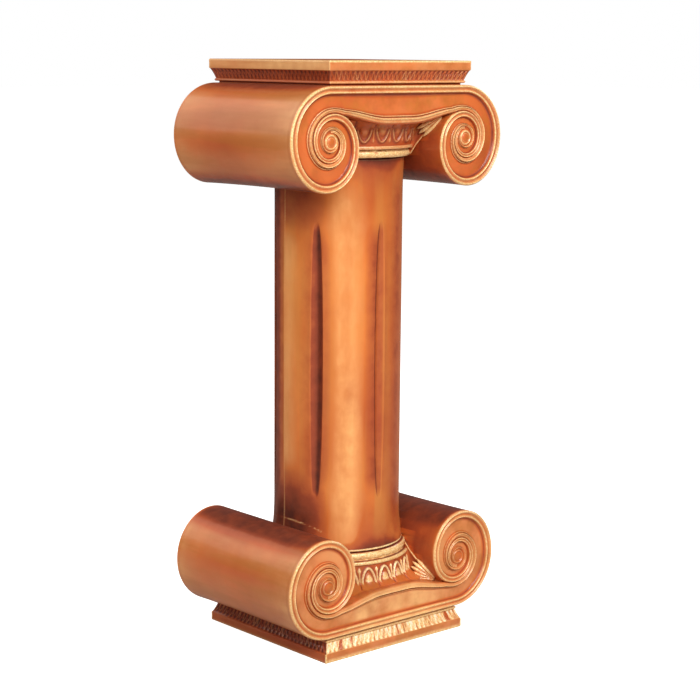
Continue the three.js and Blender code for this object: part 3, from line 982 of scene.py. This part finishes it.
def lacquer(name, tone, grain, patch, gloss):
    """Stained lacquer with gilding rubbed over the relief, drawing as well the painted shade and highlights
    that the two values carry.

    The streaks run along the axis with the small value in grain. Patch is how much of the worn
    tone is left where the brush marks are thinnest, and gloss is the weight of the clear coat.
    """
    material = bpy.data.materials.new(name)
    material.use_nodes = True
    nodes, links = material.node_tree.nodes, material.node_tree.links
    shader = nodes["Principled BSDF"]

    def node(kind, **values):
        made = nodes.new(kind)
        for key, value in values.items():
            setattr(made, key, value)
        return made

    def link(a, b):
        links.new(a, b)

    place = node("ShaderNodeTexCoord").outputs["Object"]

    def noise(scale, detail, stretch=(1, 1, 1), rough=0.55):
        mapping = node("ShaderNodeMapping")
        mapping.inputs["Scale"].default_value = stretch
        link(place, mapping.inputs["Vector"])
        texture = node("ShaderNodeTexNoise")
        texture.inputs["Scale"].default_value = scale
        texture.inputs["Detail"].default_value = detail
        texture.inputs["Roughness"].default_value = rough
        link(mapping.outputs[0], texture.inputs["Vector"])
        return texture.outputs["Fac"]

    def ramp(value, *stops):
        made = node("ShaderNodeValToRGB")
        elements = made.color_ramp.elements
        while len(elements) < len(stops):
            elements.new(0.5)
        for element, (at, colour) in zip(elements, stops):
            element.position = at
            element.color = (*colour, 1)
        link(value, made.inputs[0])
        return made.outputs[0]

    def fade(value, low, high, start=0.0):
        """Grey from start at low to 1 at high."""
        return ramp(value, (low, (start,) * 3), (high, (1,) * 3))

    def maths(operation, a, b, clamp=False):
        made = node("ShaderNodeMath", operation=operation, use_clamp=clamp)
        for socket, value in zip(made.inputs, (a, b)):
            if isinstance(value, (int, float)):
                socket.default_value = value
            else:
                link(value, socket)
        return made.outputs[0]

    def mix(share, a, b):
        made = node("ShaderNodeMix", data_type="RGBA")
        sockets = [s for s in made.inputs if s.enabled]
        for socket, value in zip(sockets, (share, a, b)):
            if isinstance(value, (int, float)):
                socket.default_value = value
            elif isinstance(value, tuple):
                socket.default_value = (*value, 1)
            else:
                link(value, socket)
        return [s for s in made.outputs if s.enabled][0]

    def attribute(key):
        return node("ShaderNodeAttribute", attribute_name=key).outputs["Fac"]

    gilt_and_highlight, stain_and_shade = attribute("gilt_and_highlight"), attribute("stain_and_shade")
    clouds = noise(7, 3, (1, 1, 0.6))
    mottle = noise(48, 4)
    streaks = noise(38, 3, grain)
    fine = noise(420, 3)
    body = ramp(clouds, (0.30, tone["dark"]), (0.5, tone["middle"]), (0.68, tone["light"]))
    body = mix(maths("MULTIPLY", fade(mottle, 0.45, 0.75), 0.3), body, tone["dark"])
    brushed = noise(17, 4, tuple(max(g, 0.4) for g in grain), 0.6)
    worn = maths("MULTIPLY", stain_and_shade, -1.15, True)
    worn = maths("MULTIPLY", worn, fade(brushed, 0.36, 0.60, patch))
    worn = maths("MULTIPLY", worn, fade(mottle, 0.3, 0.6, 0.7))
    body = mix(worn, body, tone["worn"])
    kept = maths("SUBTRACT", 1.0, maths("MULTIPLY", worn, 0.8))
    share = maths("MULTIPLY", fade(streaks, 0.44, 0.64), 0.6)
    body = mix(maths("MULTIPLY", share, kept), body, tone["streak"])
    share = maths("MULTIPLY", fade(noise(24, 3, grain), 0.5, 0.66), 0.4)
    body = mix(maths("MULTIPLY", share, kept), body, tone["dark_streak"])
    # Stain and painted shade: the lacquer reddens, then turns dark brown.
    dark = maths("MULTIPLY", stain_and_shade, maths("ADD", 0.55, maths("MULTIPLY", mottle, 0.75)), True)
    reddened = mix(fade(dark, 0.0, 0.55), body, REDDENED)
    stained_and_shaded = mix(fade(dark, 0.4, 1.0), reddened, DARK_STAIN_AND_SHADE)
    patchy = maths("ADD", maths("MULTIPLY", mottle, 0.7), maths("MULTIPLY", fine, 0.25))
    patchy = maths("ADD", patchy, maths("MULTIPLY", streaks, 0.6))
    rubbed = maths("MULTIPLY", gilt_and_highlight, maths("ADD", patchy, 0.3))
    cover = fade(rubbed, 0.15, 0.84)
    gold = ramp(fine, (0.35, DEEP_GOLD), (0.65, BRIGHT_GOLD))
    # Heavy gilt turns pale gold; at the shaft's lips this is a painted highlight.
    heavy = maths("MULTIPLY", maths("SUBTRACT", gilt_and_highlight, 1.0, True), 1.4, True)
    pale_gold_and_highlight = mix(heavy, gold, PALE_GOLD_AND_HIGHLIGHT)
    colour = mix(cover, stained_and_shaded, pale_gold_and_highlight)
    link(colour, shader.inputs["Base Color"])
    rough = maths("ADD", 0.36, maths("MULTIPLY", mottle, 0.16))
    rough = maths("ADD", rough, maths("MULTIPLY", cover, 0.06))
    rough = maths("ADD", rough, maths("MULTIPLY", dark, 0.3))
    link(rough, shader.inputs["Roughness"])
    link(maths("MULTIPLY", cover, 0.15), shader.inputs["Metallic"])
    relief = node("ShaderNodeBump")
    relief.inputs["Strength"].default_value = 0.12
    relief.inputs["Distance"].default_value = 0.0006
    link(maths("ADD", fine, maths("MULTIPLY", mottle, 1.5)), relief.inputs["Height"])
    link(relief.outputs[0], shader.inputs["Normal"])
    shader.inputs["Coat Weight"].default_value = gloss
    shader.inputs["Coat Roughness"].default_value = 0.16
    shader.inputs["IOR"].default_value = 1.5
    shader.inputs["Specular IOR Level"].default_value = 0.35
    return material


def finish_piece(obj, node_name, material):
    obj.data.materials.append(material)
    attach(obj, "root")
    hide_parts(node_name)


carved = lacquer("carved_lacquer", CARVED_TONE, (1, 0.12, 1), 0.6, 0.42)
turned = lacquer("shaft_lacquer", SHAFT_TONE, (1, 1, 0.1), 0.4, 0.25)
finish_piece(capital("pedestal_head", False), "upper_capital", carved)
finish_piece(capital("pedestal_foot", True), "lower_capital", carved)
finish_piece(join("pedestal_shaft", [shaft()]), "shaft", turned)


# --- stage, lights and camera ---
CAMERA_PLACE = (-1.6525, -1.9042, 0.8144)
CAMERA_ANGLES = (-41.35, 9.38, 0.46)
CAMERA_LENS = 93.72
FLOOR_HALF = 30.0
# To the camera the floor and the world are near white, and to every other ray they are darker.
FLOOR_SEEN, FLOOR_UNSEEN = (0.93, 0.93, 0.925, 1), (0.52, 0.44, 0.38, 1)
FLOOR_GLOW_SEEN, FLOOR_GLOW_UNSEEN = 0.92, 0.04
WORLD_SEEN, WORLD_UNSEEN, WORLD_LESS_IN_GLOSS = 1.0, 0.13, 0.08


def camera():
    azimuth, elevation, roll = map(math.radians, CAMERA_ANGLES)
    back = Vector(
        (
            math.sin(azimuth) * math.cos(elevation),
            -math.cos(azimuth) * math.cos(elevation),
            math.sin(elevation),
        )
    )
    right = Vector((math.cos(azimuth), math.sin(azimuth), 0))
    up = back.cross(right)
    across_way = right * math.cos(roll) + up * math.sin(roll)
    upward = up * math.cos(roll) - right * math.sin(roll)
    data = bpy.data.cameras.new("camera")
    data.lens = CAMERA_LENS
    data.sensor_width = 36
    data.clip_start, data.clip_end = 0.05, 60
    obj = bpy.data.objects.new("camera", data)
    spin = Matrix((across_way, upward, back)).transposed().to_4x4()
    obj.matrix_world = Matrix.Translation(CAMERA_PLACE) @ spin
    bpy.context.scene.collection.objects.link(obj)
    bpy.context.scene.camera = obj


def area_light(name, place, aim, size, power, colour=(1, 1, 1)):
    data = bpy.data.lights.new(name, "AREA")
    data.shape = "RECTANGLE"
    data.size, data.size_y = size
    data.energy = power
    data.color = colour
    obj = bpy.data.objects.new(name, data)
    obj.location = place
    obj.rotation_euler = (Vector(aim) - Vector(place)).to_track_quat("-Z", "Y").to_euler()
    bpy.context.scene.collection.objects.link(obj)


def floor():
    mesh = bpy.data.meshes.new("floor")
    r = FLOOR_HALF
    mesh.from_pydata([(-r, -r, 0), (r, -r, 0), (r, r, 0), (-r, r, 0)], [], [(0, 1, 2, 3)])
    obj = bpy.data.objects.new("floor", mesh)
    bpy.context.scene.collection.objects.link(obj)
    material = bpy.data.materials.new("pale_floor")
    material.use_nodes = True
    shader = material.node_tree.nodes["Principled BSDF"]
    nodes, links = material.node_tree.nodes, material.node_tree.links
    tone = nodes.new("ShaderNodeMix")
    tone.data_type = "RGBA"
    # Inputs 6 and 7 of this node are its two colours, and output 2 is the mixed one.
    tone.inputs[6].default_value = FLOOR_UNSEEN
    tone.inputs[7].default_value = FLOOR_SEEN
    shader.inputs["Roughness"].default_value = 0.85
    shader.inputs["Emission Color"].default_value = (1, 1, 1, 1)
    glow = nodes.new("ShaderNodeMapRange")
    glow.inputs["To Min"].default_value = FLOOR_GLOW_UNSEEN
    glow.inputs["To Max"].default_value = FLOOR_GLOW_SEEN
    seen = nodes.new("ShaderNodeLightPath").outputs["Is Camera Ray"]
    links.new(seen, tone.inputs[0])
    links.new(tone.outputs[2], shader.inputs["Base Color"])
    links.new(seen, glow.inputs["Value"])
    links.new(glow.outputs["Result"], shader.inputs["Emission Strength"])
    mesh.materials.append(material)


def world():
    made = bpy.data.worlds.new("studio")
    bpy.context.scene.world = made
    made.use_nodes = True
    nodes, links = made.node_tree.nodes, made.node_tree.links
    background = nodes["Background"]
    background.inputs["Color"].default_value = (1, 1, 1, 1)
    seen = nodes.new("ShaderNodeMapRange")
    seen.inputs["To Min"].default_value = WORLD_UNSEEN
    seen.inputs["To Max"].default_value = WORLD_SEEN
    path = nodes.new("ShaderNodeLightPath")
    links.new(path.outputs["Is Camera Ray"], seen.inputs["Value"])
    less = nodes.new("ShaderNodeMath")
    less.operation = "MULTIPLY_ADD"
    less.inputs[1].default_value = -WORLD_LESS_IN_GLOSS
    links.new(path.outputs["Is Glossy Ray"], less.inputs[0])
    links.new(seen.outputs["Result"], less.inputs[2])
    links.new(less.outputs[0], background.inputs["Strength"])


camera()
floor()
world()
area_light("key", (-0.45, -2.5, 2.2), (0, 0, 0.4), (2.2, 1.4), 98)
area_light("back_left_sheen", (-1.0, 1.85, 1.75), (-0.1, 0, 0.5), (1.7, 1.8), 14, (1.0, 0.93, 0.85))
area_light("right_fill", (2.5, 0.7, 1.6), (0, 0, 0.4), (1.4, 1.4), 20)
area_light("left_fill", (-2.2, -1.1, 1.8), (0, 0, 0.5), (1.2, 1.2), 27)
bpy.context.scene.view_settings.view_transform = "Standard"
